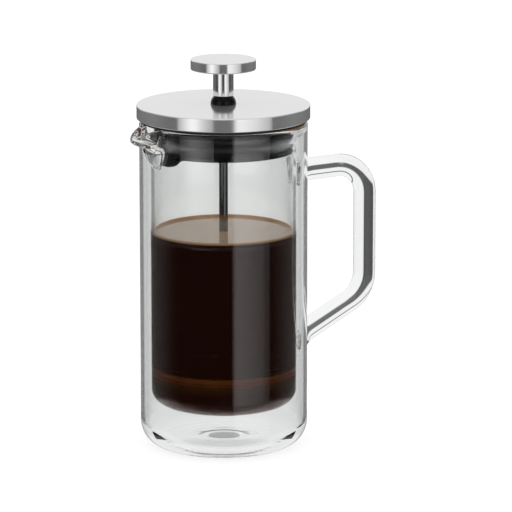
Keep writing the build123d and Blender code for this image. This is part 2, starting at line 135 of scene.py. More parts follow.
def lathe(name, outline, segments=192, closed=False, sharp_angle=None):
    """Turned piece from (radius, height) points: closed ring, or from axis to axis."""
    rings = []
    vertices = []
    for r, z in outline:
        if r < 1e-7:
            rings.append([len(vertices)] * segments)
            vertices.append((0.0, 0.0, z))
            continue
        rings.append(list(range(len(vertices), len(vertices) + segments)))
        for index in range(segments):
            angle = 2 * math.pi * index / segments
            vertices.append((r * math.cos(angle), r * math.sin(angle), z))
    faces = []
    following_rings = rings[1:] + (rings[:1] if closed else [])
    for low, high in zip(rings, following_rings):
        for index in range(segments):
            following = (index + 1) % segments
            corners = [low[index], low[following], high[following], high[index]]
            face = list(dict.fromkeys(corners))
            if len(face) > 2:
                faces.append(face)
    return mesh_object(name, vertices, faces, sharp_angle)


def tube(points, radius, sides=8, closed=False):
    """Vertices and faces of a round tube along points, with one radius or one for each point."""
    count = len(points)
    points = np.array(points, float)
    radii = np.full(count, radius) if np.isscalar(radius) else np.array(radius)
    if closed:
        tangents = np.roll(points, -1, axis=0) - np.roll(points, 1, axis=0)
    else:
        tangents = np.gradient(points, axis=0)
    tangents /= np.linalg.norm(tangents, axis=1)[:, None]
    reference = np.array([0.0, 0.0, 1.0]) if abs(tangents[0][2]) < 0.9 else np.array([0.0, 1.0, 0.0])
    side = np.cross(tangents[0], reference)
    vertices = []
    for index in range(count):
        side = side - tangents[index] * np.dot(side, tangents[index])
        side /= np.linalg.norm(side)
        up = np.cross(tangents[index], side)
        for k in range(sides):
            angle = 2 * math.pi * k / sides
            vertices.append(points[index] + radii[index] * (math.cos(angle) * side + math.sin(angle) * up))
    faces = []
    for index in range(count if closed else count - 1):
        for k in range(sides):
            a = index * sides + k
            b = index * sides + (k + 1) % sides
            c = ((index + 1) % count) * sides + (k + 1) % sides
            d = ((index + 1) % count) * sides + k
            faces.append((a, b, c, d))
    if not closed:
        faces.append(tuple(reversed(range(sides))))
        faces.append(tuple(range((count - 1) * sides, count * sides)))
    return vertices, faces


def merged(name, parts, sharp_angle=None):
    """One object from several (vertices, faces) pairs."""
    vertices, faces = [], []
    for part_vertices, part_faces in parts:
        offset = len(vertices)
        vertices.extend(part_vertices)
        faces.extend([tuple(i + offset for i in face) for face in part_faces])
    return mesh_object(name, vertices, faces, sharp_angle)


def fix_normals(piece):
    """Point every face of a closed piece outwards."""
    bm = bmesh.new()
    bm.from_mesh(piece.data)
    bmesh.ops.recalc_face_normals(bm, faces=bm.faces)
    bm.to_mesh(piece.data)
    bm.free()
    return piece


# ==== Materials =====================================================================
class Nodes:
    """Small helper for building a node tree. A value is a number or the socket it comes from."""

    def __init__(self, tree):
        self.tree = tree

    def add(self, kind, **settings):
        """A new node with its settings and input values."""
        node = self.tree.nodes.new(kind)
        for key, value in settings.items():
            if hasattr(node, key):
                setattr(node, key, value)
            else:
                node.inputs[key].default_value = value
        return node

    def link(self, source, target):
        """Feed a socket from another one."""
        self.tree.links.new(source, target)

    def math(self, operation, a, b=None):
        """The result of a sum with one or two values."""
        node = self.add("ShaderNodeMath", operation=operation)
        for slot, value in zip(node.inputs, (a, b)):
            if value is None:
                continue
            if isinstance(value, (int, float)):
                slot.default_value = value
            else:
                self.link(value, slot)
        return node.outputs[0]


def new_material(name):
    """An empty material with a Principled shader and its node helper."""
    material = bpy.data.materials.new(name)
    material.use_nodes = True
    nodes = Nodes(material.node_tree)
    shader = material.node_tree.nodes["Principled BSDF"]
    return material, nodes, shader


def noise(nodes, vector, scale, detail=3.0, roughness=0.5):
    """Cloudy noise between 0 and 1 at a place."""
    node = nodes.add("ShaderNodeTexNoise")
    node.inputs["Scale"].default_value = scale
    node.inputs["Detail"].default_value = detail
    node.inputs["Roughness"].default_value = roughness
    nodes.link(vector, node.inputs["Vector"])
    return node.outputs["Fac"]


def ramp(nodes, value, low, high, low_out, high_out):
    """Straight ramp from low_out at low to high_out at high, level outside them."""
    node = nodes.add("ShaderNodeMapRange")
    node.inputs["From Min"].default_value = low
    node.inputs["From Max"].default_value = high
    node.inputs["To Min"].default_value = low_out
    node.inputs["To Max"].default_value = high_out
    nodes.link(value, node.inputs["Value"])
    return node.outputs["Result"]


def dot_product(nodes, vector, axis):
    """How far a vector reaches along an axis."""
    node = nodes.add("ShaderNodeVectorMath", operation="DOT_PRODUCT")
    node.inputs[1].default_value = axis
    nodes.link(vector, node.inputs[0])
    return node.outputs["Value"]


def band(nodes, value, limits, soft):
    """1 between two limits, falling to 0 within a soft edge around each."""
    low, high = limits
    rise = ramp(nodes, value, low - soft, low + soft, 0.0, 1.0)
    fall = ramp(nodes, value, high - soft, high + soft, 1.0, 0.0)
    return nodes.math("MULTIPLY", rise, fall)


def blend(nodes, factor, a, b):
    """Value a where the factor is 0, value b where it is 1."""
    node = nodes.add("ShaderNodeMix")
    for name, value in (("Factor", factor), ("A", a), ("B", b)):
        if isinstance(value, (int, float)):
            node.inputs[name].default_value = value
        else:
            nodes.link(value, node.inputs[name])
    return node.outputs["Result"]


def colour_blend(nodes, factor, a, b, blend_type="MIX"):
    """Colour a where the factor is 0, and where it is 1 colour b, or a and b added up."""
    node = nodes.add("ShaderNodeMix", data_type="RGBA", blend_type=blend_type)
    if isinstance(a, tuple):
        node.inputs["A"].default_value = (*a, 1)
    else:
        nodes.link(a, node.inputs["A"])
    node.inputs["B"].default_value = (*b, 1)
    nodes.link(factor, node.inputs["Factor"])
    return node.outputs["Result"]


def scaled(colour, factor):
    """A colour made darker or lighter."""
    return tuple(channel * factor for channel in colour)


def bump(nodes, shader, height, strength, distance):
    """Give a shader small dents from a height."""
    node = nodes.add("ShaderNodeBump")
    node.inputs["Strength"].default_value = strength
    node.inputs["Distance"].default_value = distance
    nodes.link(height, node.inputs["Height"])
    nodes.link(node.outputs["Normal"], shader.inputs["Normal"])


def object_coordinates(nodes):
    """The place of a point in its piece, in metres."""
    return nodes.add("ShaderNodeTexCoord").outputs["Object"]


def turned_coordinates(nodes, around=0.0):
    """(radius, height, a little angle) of a point about the axis, for marks that run round a piece."""
    separate = nodes.add("ShaderNodeSeparateXYZ")
    nodes.link(object_coordinates(nodes), separate.inputs[0])
    x, y, z = separate.outputs
    radius = nodes.math("SQRT", nodes.math("ADD", nodes.math("MULTIPLY", x, x), nodes.math("MULTIPLY", y, y)))
    angle = nodes.math("MULTIPLY", nodes.math("ARCTAN2", y, x), around)
    combine = nodes.add("ShaderNodeCombineXYZ")
    nodes.link(radius, combine.inputs[0])
    nodes.link(z, combine.inputs[1])
    nodes.link(angle, combine.inputs[2])
    return combine.outputs[0]


def glass_material():
    """Clear fire-polished borosilicate, with the faint waviness of hand-finished glass."""
    material, nodes, shader = new_material("clear_glass")
    shader.inputs["Base Color"].default_value = (0.985, 0.992, 0.990, 1)
    shader.inputs["Transmission Weight"].default_value = 1.0
    shader.inputs["IOR"].default_value = 1.47
    where = object_coordinates(nodes)
    nodes.link(ramp(nodes, noise(nodes, where, 90.0), 0.35, 0.75, 0.0, 0.012), shader.inputs["Roughness"])
    bump(nodes, shader, noise(nodes, where, 45.0, detail=1.0), 0.06, 0.4 * MM)
    return material


def steel_material(name, colour, metallic, roughness, spread, grain, grain_depth):
    """Steel with fine marks that run round the piece."""
    material, nodes, shader = new_material(name)
    shader.inputs["Metallic"].default_value = metallic
    turned = turned_coordinates(nodes, around=0.0004)
    fine = noise(nodes, turned, grain, detail=4.0, roughness=0.7)
    broad = noise(nodes, object_coordinates(nodes), 60.0, detail=2.0)
    nodes.link(colour_blend(nodes, fine, scaled(colour, 0.94), colour), shader.inputs["Base Color"])
    rough = nodes.math("ADD", ramp(nodes, fine, 0.3, 0.7, roughness, roughness + spread),
                       ramp(nodes, broad, 0.3, 0.7, -0.01, 0.02))
    nodes.link(rough, shader.inputs["Roughness"])
    bump(nodes, shader, fine, 0.25, grain_depth)
    return material


def plastic_material(name, colour, roughness, gloss):
    """Moulded plastic with a faint orange-peel surface."""
    material, nodes, shader = new_material(name)
    where = object_coordinates(nodes)
    speckle = noise(nodes, where, 900.0, detail=2.0)
    speckled = colour_blend(nodes, speckle, scaled(colour, 0.8), scaled(colour, 1.25))
    nodes.link(speckled, shader.inputs["Base Color"])
    nodes.link(ramp(nodes, noise(nodes, where, 150.0), 0.3, 0.7, roughness, roughness + 0.08),
               shader.inputs["Roughness"])
    shader.inputs["Specular IOR Level"].default_value = gloss
    bump(nodes, shader, noise(nodes, where, 260.0, detail=1.0), 0.12, 0.05 * MM)
    return material


COFFEE_BROWN = (0.52, 0.13, 0.045)
SKIN_BROWN = (0.80, 0.45, 0.16)
# Painted glows: the coffee's faint brown, and the brighter lit top of its skin.
PAINTED_COFFEE_GLOW = (0.0052, 0.0010, 0.0003)
PAINTED_SKIN_GLOW = (0.16, 0.105, 0.06)
# Painted glow in amber, standing for the mesh and grounds seen through the coffee.
PAINTED_AMBER_GLOW = (0.032, 0.0125, 0.0026)
COFFEE_ABSORPTION = (0.75, 0.50, 0.25)
TICK_LENGTH = 1.6 * MM
BAND_DEPTH = 6.0 * MM


def painted_amber_glow_mask(nodes, where, height):
    """Painted amber glow of the mesh and the grounds behind the coffee: how strongly it shows, fading further
    down, with ticks along the upper edge.
    """
    ticks = noise(nodes, turned_coordinates(nodes, around=0.04), 900.0, detail=1.0)
    edge = nodes.math("ADD", SCREEN_HIGH.z - 0.6 * MM, nodes.math("MULTIPLY", ticks, TICK_LENGTH))
    below = ramp(nodes, nodes.math("SUBTRACT", edge, height), 0.0, 0.3 * MM, 0.0, 1.0)
    fading = ramp(nodes, height, SCREEN_LOW.z - BAND_DEPTH, SCREEN_HIGH.z, 0.12, 1.0)
    blotches = ramp(nodes, noise(nodes, where, 70.0), 0.3, 0.7, 0.6, 1.2)
    shaded = nodes.math("MULTIPLY", below, nodes.math("POWER", fading, 1.6))
    return nodes.math("MULTIPLY", shaded, blotches)


def coffee_material():
    """Black coffee that swallows light within a few millimetres, with a beige skin on top.

    Hardly any light reaches it through the two glass walls, so a faint painted glow gives it its brown, and a
    brighter painted glow stands for the lit top of its skin.
    """
    material, nodes, shader = new_material("black_coffee")
    shader.inputs["IOR"].default_value = 1.33
    shader.inputs["Transmission Weight"].default_value = 0.985
    shader.inputs["Emission Strength"].default_value = 1.0
    where = object_coordinates(nodes)
    nodes.link(ramp(nodes, noise(nodes, where, 120.0), 0.3, 0.7, 0.0, 0.02), shader.inputs["Roughness"])
    separate = nodes.add("ShaderNodeSeparateXYZ")
    nodes.link(where, separate.inputs[0])
    height = separate.outputs[2]
    skin = ramp(nodes, height, COFFEE_Z - 0.06 * MM, COFFEE_Z - 0.01 * MM, 0.0, 1.0)
    nodes.link(colour_blend(nodes, skin, COFFEE_BROWN, SKIN_BROWN), shader.inputs["Base Color"])
    # Painted glow: faint in the coffee, brighter on its skin.
    glow = colour_blend(nodes, skin, PAINTED_COFFEE_GLOW, PAINTED_SKIN_GLOW)
    # The painted amber glow of the mesh and grounds is added on top.
    glow = colour_blend(nodes, painted_amber_glow_mask(nodes, where, height), glow, PAINTED_AMBER_GLOW, blend_type="ADD")
    nodes.link(glow, shader.inputs["Emission Color"])
    absorption = nodes.add("ShaderNodeVolumeAbsorption")
    absorption.inputs["Color"].default_value = (*COFFEE_ABSORPTION, 1)
    absorption.inputs["Density"].default_value = 1200.0
    output = material.node_tree.nodes["Material Output"]
    nodes.link(absorption.outputs["Volume"], output.inputs["Volume"])
    return material


def floor_material():
    """Pale paper that is nearly white by itself, so that only a soft shadow shows on it."""
    material, nodes, shader = new_material("pale_floor")
    shader.inputs["Base Color"].default_value = (0.25, 0.25, 0.25, 1)
    shader.inputs["Roughness"].default_value = 0.9
    shader.inputs["Specular IOR Level"].default_value = 0.0
    shader.inputs["Emission Color"].default_value = (1, 1, 1, 1)
    shader.inputs["Emission Strength"].default_value = 0.85
    return material


GLASS = glass_material()
FINE_GRAIN = {"grain": 2600.0, "grain_depth": 0.002 * MM}
SATIN_STEEL = steel_material("satin_steel", (0.80, 0.80, 0.80), 0.82, 0.10, 0.05, **FINE_GRAIN)
BRIGHT_STEEL = steel_material("bright_steel", (0.84, 0.84, 0.84), 0.88, 0.06, 0.04, **FINE_GRAIN)
# Darker copy of the bright steel for the rod: painted shade, so that the rod reads dark through the glass.
SHADED_ROD_STEEL = steel_material("shaded_rod_steel", (0.30, 0.30, 0.30), 0.92, 0.05, 0.03, **FINE_GRAIN)
MESH_STEEL = steel_material("mesh_steel", (0.66, 0.64, 0.60), 0.80, 0.22, 0.08, grain=1800.0,
                            grain_depth=0.004 * MM)
BLACK_PLASTIC = plastic_material("black_plastic", (0.006, 0.006, 0.0065), 0.14, 0.5)
GUIDE_PLASTIC = plastic_material("guide_plastic", (0.003, 0.003, 0.0033), 0.06, 0.16)
SILICONE = plastic_material("black_silicone", (0.008, 0.008, 0.0085), 0.5, 0.3)
CLEAR_SILICONE = plastic_material("clear_silicone", (0.62, 0.63, 0.62), 0.35, 0.5)
CLEAR_SILICONE.node_tree.nodes["Principled BSDF"].inputs["Transmission Weight"].default_value = 0.7
COFFEE = coffee_material()


def dress(piece, material, body, slot, *nodes):
    """Give a piece its material and its body, and hide the CAD nodes it stands for. The slot is not used."""
    piece.data.materials.clear()
    piece.data.materials.append(material)
    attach(piece, body)
    if nodes:
        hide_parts(*nodes)
    return piece


# ==== Vessel ========================================================================
def smooth(t):
    """0 below 0, 1 above 1, and a soft S between them."""
    t = np.clip(t, 0.0, 1.0)
    return t * t * (3 - 2 * t)


def arc(centre, radius, start, end, steps):
    """Points on an arc from start to end, in degrees."""
    angles = np.radians(np.linspace(start, end, steps + 1))
    return [(centre[0] + radius * math.cos(a), centre[1] + radius * math.sin(a)) for a in angles]


def straight(start, end, steps):
    """Points between two points, both left out."""
    return [tuple(np.array(start) + (np.array(end) - np.array(start)) * k / steps) for k in range(1, steps)]


def flare_arcs():
    """Centres, radius and turn of the two arcs that make the flare from the bore up to the rim."""
    rise = MOUTH_DEPTH - RIM_THICKNESS / 2
    flare = JACKET_R - RIM_THICKNESS - BORE_R
    radius = (rise ** 2 + flare ** 2) / (4 * flare)
    turn = math.degrees(2 * math.atan(flare / rise))
    low_centre = (BORE_R + radius, RIM_Z - MOUTH_DEPTH)
    high_centre = (JACKET_R - RIM_THICKNESS - radius, RIM_Z - RIM_THICKNESS / 2)
    return low_centre, high_centre, radius, turn


def mouth_curve(offset, end=0.0, steps=18):
    """The flare moved outwards by offset, up to end degrees below the rim's middle."""
    low_centre, high_centre, radius, turn = flare_arcs()
    low = arc(low_centre, radius - offset, 180, 180 - turn, steps)
    high = arc(high_centre, radius + offset, -turn, -end, steps)
    return low, high


def outside_outline():
    """Outer surface from the base's middle, over the rim, down the bore to the floor's middle."""
    low, high = mouth_curve(0.0)
    base = rounded([
        (0, PUNT_DEPTH, 0),
        (PUNT_R - PUNT_SLOPE, PUNT_DEPTH, PUNT_ROUNDING),
        (PUNT_R, 0, PUNT_ROUNDING),
        (JACKET_R, 0, 0),
    ], steps=5)[:-1]
    corner = arc((JACKET_R - JACKET_CORNER, JACKET_CORNER), JACKET_CORNER, -90, 0, 20)
    wall = straight(corner[-1], (JACKET_R, WALL_SPLIT_Z), 30)
    upper_wall = straight((JACKET_R, WALL_SPLIT_Z), (JACKET_R, RIM_Z - RIM_THICKNESS / 2), 30)
    rim = arc((JACKET_R - RIM_THICKNESS / 2, RIM_Z - RIM_THICKNESS / 2), RIM_THICKNESS / 2, 0, 180, 14)
    flare = list(reversed(high))[1:] + list(reversed(low))[1:]
    inner_corner = INNER_CORNER - INNER_WALL
    bottom = arc((BORE_R - inner_corner, BEAKER_FLOOR_Z + inner_corner), inner_corner, 0, -90, 16)
    bore = straight(flare[-1], bottom[0], 30)
    floor = straight(bottom[-1], (0, BEAKER_FLOOR_Z), 8)
    return base + corner + wall + upper_wall + rim + flare + bore + bottom + floor + [(0, BEAKER_FLOOR_Z)]


def gap_outline():
    """The sealed air space between the two walls, from its low middle to its high middle."""
    outer = JACKET_R - JACKET_WALL
    corner = JACKET_CORNER - JACKET_WALL
    _, high_centre, radius, _ = flare_arcs()
    crown_reach = outer - GAP_CROWN_WIDTH - high_centre[0]
    crown_angle = math.degrees(math.acos(crown_reach / (radius + INNER_WALL)))
    low, high = mouth_curve(INNER_WALL, crown_angle)
    crown_z = high[-1][1]
    low_corner = arc((outer - corner, BASE_THICKNESS + corner), corner, -90, 0, 18)
    outer_wall = straight(low_corner[-1], (outer, crown_z), 60)
    crown_r = GAP_CROWN_WIDTH / 2
    crown = arc((outer - crown_r, crown_z), crown_r, 0, 180, 6)
    inner_side = list(reversed(high))[1:] + list(reversed(low))[1:]
    bottom = arc((BORE_R + INNER_WALL - INNER_CORNER, BEAKER_LOW.z + INNER_CORNER), INNER_CORNER, 0, -90, 18)
    inner_wall = straight(inner_side[-1], bottom[0], 40)
    low_floor = straight((0, BASE_THICKNESS), low_corner[0], 8)
    high_floor = straight(bottom[-1], (0, BEAKER_LOW.z), 8)
    return ([(0, BASE_THICKNESS)] + low_floor + low_corner + outer_wall + crown + inner_side + inner_wall
            + bottom + high_floor + [(0, BEAKER_LOW.z)])


SPOUT_LOW_Z = RIM_Z - 12.1 * MM
SPOUT_DROOP = 4.4 * MM
SPOUT_HALF_ANGLE = math.radians(16.5)
LIP_THINNING = 2.2 * MM
OUTSIDE_SWELL = 0.5
INSIDE_SWELL = 0.8
GAP_HALF_ANGLE = math.radians(16.5)
GAP_FADE = 1.6
GAP_DROP = 12.5 * MM
GAP_DROP_START_Z = RIM_Z - 30 * MM
GAP_DROP_RISE = 22 * MM


def beside_spout(x, y, half_angle):
    """1 in front of the spout's middle, falling smoothly to 0 at half_angle to either side."""
    angle = np.abs(np.arctan2(y, -x))
    return np.cos(np.clip(angle / half_angle, 0, 1) * math.pi / 2) ** 2


def draw_spout(piece, outside_count):
    """Pull the rim out and down into a pouring lip, as a glass blower does.

    The first outside_count vertices belong to the outer surface.
    """
    co = np.array([v.co for v in piece.data.vertices])
    x, y, z = co.T
    r = np.hypot(x, y)
    near = beside_spout(x, y, SPOUT_HALF_ANGLE)
    reach = SPOUT_TIP - JACKET_R
    t_out = np.clip((z - SPOUT_LOW_Z) / (RIM_Z - SPOUT_DROOP - SPOUT_LOW_Z), 0, 1)
    out = np.sin(t_out * math.pi / 2) ** OUTSIDE_SWELL
    start_z = RIM_Z - MOUTH_DEPTH
    t_in = (z - start_z) / (RIM_Z - RIM_THICKNESS / 2 - start_z)
    inside = smooth(t_in) ** INSIDE_SWELL
    is_inner = np.arange(len(co)) >= outside_count
    thin = LIP_THINNING * inside * smooth((JACKET_R - r) / RIM_THICKNESS)
    pull = near * (np.where(is_inner, inside, out) * reach + thin)
    low = smooth((z - SPOUT_LOW_Z) / (RIM_Z - SPOUT_LOW_Z)) * near * SPOUT_DROOP
    scale = np.where(r > 1e-6, (r + pull) / np.maximum(r, 1e-6), 1.0)
    moved = np.column_stack((x * scale, y * scale, z - low))
    piece.data.vertices.foreach_set("co", moved.ravel())
    piece.data.update()


def lower_gap(piece):
    """The air space ends lower under the spout, where the walls are fused."""
    co = np.array([v.co for v in piece.data.vertices])
    angle = np.abs(np.arctan2(co[:, 1], -co[:, 0]))
    near = smooth(GAP_FADE * (1 - angle / GAP_HALF_ANGLE))
    co[:, 2] -= near * GAP_DROP * smooth((co[:, 2] - GAP_DROP_START_Z) / GAP_DROP_RISE)
    piece.data.vertices.foreach_set("co", co.ravel())
    piece.data.update()


HANDLE_R = 6.4 * MM
PAD_R = 9.2 * MM
TOP_ARM_RISE = 1.4 * MM
LOW_ARM_RISE = 22.5 * MM
TOP_BEND = 17.0 * MM
LOW_BEND = 19.0 * MM
ROOT_DEPTH = 1.3 * MM
PAD_SPREAD = 7.5 * MM
PAD_SWELL = 2.4
PATH_STEP = 1.0 * MM


def handle_path():
    """Centreline of the handle's rod in the XZ plane, as (x, z) points."""
    out = HANDLE_HIGH.x - HANDLE_R
    top_root = HANDLE_HIGH.z - PAD_R
    low_root = HANDLE_LOW.z + PAD_R
    root = JACKET_R - ROOT_DEPTH
    corners = [
        (root, top_root, 0),
        (out, top_root + TOP_ARM_RISE, TOP_BEND),
        (out, low_root + LOW_ARM_RISE, LOW_BEND),
        (root, low_root, 0),
    ]
    bends = rounded(corners, steps=18, support=0.5 * MM)
    path = [bends[0]]
    for start, end in zip(bends, bends[1:]):
        steps = max(1, int((Vector(end) - Vector(start)).length / PATH_STEP))
        path += straight(start, end, steps) + [end]
    return path


def handle_tube():
    """The bent glass rod, thickening towards the two roots."""
    path = [(x, 0.0, z) for x, z in handle_path()]
    points = np.array(path)
    steps = np.linalg.norm(np.diff(points, axis=0), axis=1)
    along = np.concatenate(([0], np.cumsum(steps)))
    from_root = np.minimum(along, along[-1] - along)
    flare = np.clip(1 - from_root / PAD_SPREAD, 0, 1) ** PAD_SWELL
    radii = HANDLE_R + (PAD_R - HANDLE_R) * flare
    vertices, faces = tube(path, radii, sides=48)
    return mesh_object("handle_rod", vertices, faces)


def union(piece, other):
    """Fuse other into piece and remove other."""
    modifier = piece.modifiers.new("fuse", "BOOLEAN")
    modifier.operation = "UNION"
    modifier.solver = "EXACT"
    modifier.object = other
    graph = bpy.context.evaluated_depsgraph_get()
    mesh = bpy.data.meshes.new_from_object(piece.evaluated_get(graph))
    piece.modifiers.clear()
    piece.data = mesh
    bpy.data.objects.remove(other)
    return piece


def join_meshes(name, pieces):
    """One mesh object holding several pieces' meshes as they are."""
    bm = bmesh.new()
    for piece in pieces:
        bm.from_mesh(piece.data)
        bpy.data.objects.remove(piece)
    mesh = bpy.data.meshes.new(name)
    bm.to_mesh(mesh)
    bm.free()
    joined = bpy.data.objects.new(name, mesh)
    bpy.context.scene.collection.objects.link(joined)
    return joined


def flip(piece):
    """Turn every face of a piece round, so that it bounds a hollow."""
    bm = bmesh.new()
    bm.from_mesh(piece.data)
    bmesh.ops.reverse_faces(bm, faces=bm.faces)
    bm.to_mesh(piece.data)
    bm.free()
    return piece


def glass_vessel():
    """Both walls, the lip and the handle as the one fused piece of glass that they are."""
    segments = 256
    outline = outside_outline()
    top = max(range(len(outline)), key=lambda i: outline[i][1])
    shell = lathe("shell", outline, segments)
    poles_before = sum(1 for r, z in outline[:top] if r < 1e-7)
    outside_count = (top - poles_before) * segments + poles_before
    draw_spout(shell, outside_count)
    fix_normals(shell)
    handle = fix_normals(handle_tube())
    shell = union(shell, handle)
    gap = lathe("gap", gap_outline(), segments)
    lower_gap(gap)
    flip(fix_normals(gap))
    vessel = join_meshes("glass_vessel", [shell, gap])
    vessel.data.polygons.foreach_set("use_smooth", [True] * len(vessel.data.polygons))
    vessel.data.set_sharp_from_angle(angle=math.radians(50))
    return dress(vessel, GLASS, "vessel", "glass", "inner_beaker", "beaker_mouth",
                 "outer_jacket", "handle")


def vent_plug():
    """Head of the silicone plug in the middle of the base."""
    head_r = PLUG_HIGH.x
    top = PUNT_DEPTH - 0.05 * MM
    outline = rounded([
        (0, PLUG_LOW.z, 0),
        (head_r, PLUG_LOW.z, 0.3 * MM),
        (head_r, top, 0.2 * MM),
        (0, top, 0),
    ], steps=4)
    piece = fix_normals(lathe("vent_plug_head", outline, 96))
    return dress(piece, CLEAR_SILICONE, "vessel", "clear_silicone", "vent_plug")


def coffee():
    """The coffee in the beaker, wetting the glass, with a small meniscus."""
    overlap = 0.15 * MM
    radius = BORE_R + overlap
    corner = INNER_CORNER - INNER_WALL + overlap
    low = BEAKER_FLOOR_Z - overlap
    climb = 1.3 * MM
    creep = 2.2 * MM
    bottom = arc((radius - corner, low + corner), corner, -90, 0, 16)
    side = straight(bottom[-1], (radius, COFFEE_Z + climb), 20)
    surface = []
    for t in np.linspace(0, 1, 14):
        surface.append((radius - creep * t, COFFEE_Z + climb * (1 - t) ** 2.5))
    inner = straight(surface[-1], (0, COFFEE_Z), 12)
    under = [(0, low)] + straight((0, low), bottom[0], 8)
    outline = under + bottom + side + surface + inner + [(0, COFFEE_Z)]
    piece = fix_normals(lathe("coffee", outline, 192))
    return dress(piece, COFFEE, "vessel", "glass")


# ==== Lid ===========================================================================
def lid_cap():
    """Pressed steel cap with a softly rounded upper edge and a turned lower edge."""
    outer = CAP_HIGH.x
    sheet = 0.8 * MM
    hole = 4.5 * MM
    low, top = CAP_LOW.z, CAP_HIGH.z
    outline = rounded([
        (hole, top, 0.1 * MM),
        (outer, top, 0.75 * MM),
        (outer, low, 0.35 * MM),
        (outer - sheet, low, 0.35 * MM),
        (outer - sheet, top - sheet, 0.4 * MM),
        (hole, top - sheet, 0.1 * MM),
    ], steps=6)
    piece = fix_normals(lathe("lid_cap_steel", outline, 256, closed=True))
    return dress(piece, SATIN_STEEL, "lid", "satin_steel", "lid_cap")


def lid_gasket():
    """Flat black ring between the cap and the glass rim."""
    outer, low, high = GASKET_HIGH.x, GASKET_LOW.z, GASKET_HIGH.z
    width = 4.2 * MM
    outline = rounded([
        (outer - width, low, 0.3 * MM),
        (outer, low, 0.5 * MM),
        (outer, high, 0.2 * MM),
        (outer - width, high, 0.2 * MM),
    ], steps=5)
    piece = fix_normals(lathe("lid_gasket_ring", outline, 192, closed=True))
    return dress(piece, SILICONE, "lid", "black_silicone", "lid_gasket")


def rod_guide():
    """Domed black head on the lid, with the shank below."""
    base_r, top_r = GUIDE_HIGH.x, 5.0 * MM
    bore, shank = 2.55 * MM, 4.4 * MM
    head_z, top = CAP_HIGH.z, GUIDE_HIGH.z
    rise, inset = top - head_z, base_r - top_r
    bulge = (rise ** 2 + inset ** 2) / (2 * inset)
    dome = arc((base_r - bulge, head_z), bulge, 0, math.degrees(math.asin(rise / bulge)), 14)
    outline = ([(bore, GUIDE_LOW.z), (shank, GUIDE_LOW.z), (shank, head_z - 0.01 * MM), (base_r, head_z)]
               + dome[1:] + [(bore, top)])
    piece = fix_normals(lathe("rod_guide_bush", outline, 96, closed=True, sharp_angle=40))
    return dress(piece, GUIDE_PLASTIC, "guide", "guide_plastic", "rod_guide")


# ==== Plunger =======================================================================
def knob_disc():
    """Flat round knob with softened edges."""
    r, low, high = KNOB_HIGH.x, KNOB_LOW.z, KNOB_HIGH.z
    outline = rounded([
        (0, low, 0),
        (r, low, 0.6 * MM),
        (r, high, 0.6 * MM),
        (0, high, 0),
    ], steps=6)
    piece = fix_normals(lathe("knob_disc_steel", outline, 192))
    return dress(piece, SATIN_STEEL, "knob", "satin_steel", "knob_disc")


def knob_stem():
    """Bright post under the knob, a little slimmer at its top."""
    r = STEM_HIGH.x - 0.3 * MM
    low, high = STEM_LOW.z, KNOB_LOW.z
    outline = rounded([
        (0, low, 0),
        (r, low, 0.35 * MM),
        (r - 0.1 * MM, high, 0.05 * MM),
        (0, high, 0),
    ], steps=5)
    piece = fix_normals(lathe("knob_stem_post", outline, 128))
    return dress(piece, BRIGHT_STEEL, "knob", "bright_steel", "knob_stem")


def plunger_rod():
    """Round steel rod from the knob down to the filter."""
    r, low, high = ROD_HIGH.x, ROD_LOW.z, ROD_HIGH.z
    outline = rounded([
        (0, low, 0),
        (r, low, 0.3 * MM),
        (r, high, 0.3 * MM),
        (0, high, 0),
    ], steps=4)
    piece = fix_normals(lathe("plunger_rod_steel", outline, 96))
    # The rod is bright steel; the darker copy it is drawn with is painted shade.
    return dress(piece, SHADED_ROD_STEEL, "rod", "bright_steel", "plunger_rod")


# ==== Filter ========================================================================
def filter_coil():
    """The long coil spring wound round the filter's edge."""
    turns = 216
    wire = 0.28 * MM
    coil_r = (COIL_HIGH.z - COIL_LOW.z) / 2 - wire
    centre_r = COIL_HIGH.x - coil_r - wire
    centre_z = (COIL_HIGH.z + COIL_LOW.z) / 2
    per_turn = 14
    count = turns * per_turn
    points = []
    for index in range(count):
        angle = 2 * math.pi * index / count
        wind = 2 * math.pi * index / per_turn
        r = centre_r + coil_r * math.cos(wind)
        points.append((r * math.cos(angle), r * math.sin(angle), centre_z + coil_r * math.sin(wind)))
    vertices, faces = tube(points, wire, sides=6, closed=True)
    piece = fix_normals(mesh_object("filter_coil", vertices, faces))
    return dress(piece, BRIGHT_STEEL, "filter", "bright_steel", "filter_spring")


MESH_PITCH = 1.2 * MM
MESH_WIRE = 0.17 * MM
MESH_HOLE_R = 3.5 * MM
MESH_UPRIGHTS = 208
MESH_RING_SIDES = 256


def flat_weave(disc_r, mid_z):
    """Two crossing sets of wires that fill a disc, each wire going over and under the others."""
    parts = []
    count = int(disc_r / MESH_PITCH)
    for along_x in (True, False):
        for line in range(-count, count + 1):
            offset = line * MESH_PITCH
            half = math.sqrt(max(disc_r ** 2 - offset ** 2, 0))
            spans = [(-half, half)]
            if abs(offset) < MESH_HOLE_R:
                inner = math.sqrt(MESH_HOLE_R ** 2 - offset ** 2)
                spans = [(-half, -inner), (inner, half)]
            for start, end in spans:
                steps = max(2, int((end - start) / (MESH_PITCH / 2)))
                points = []
                for s in np.linspace(start, end, steps + 1):
                    lift = 0.09 * MM * math.cos(math.pi * (s / MESH_PITCH + line)) * (1 if along_x else -1)
                    points.append((s, offset, mid_z + lift) if along_x else (offset, s, mid_z + lift))
                parts.append(tube(points, MESH_WIRE / 2, sides=4))
    return parts


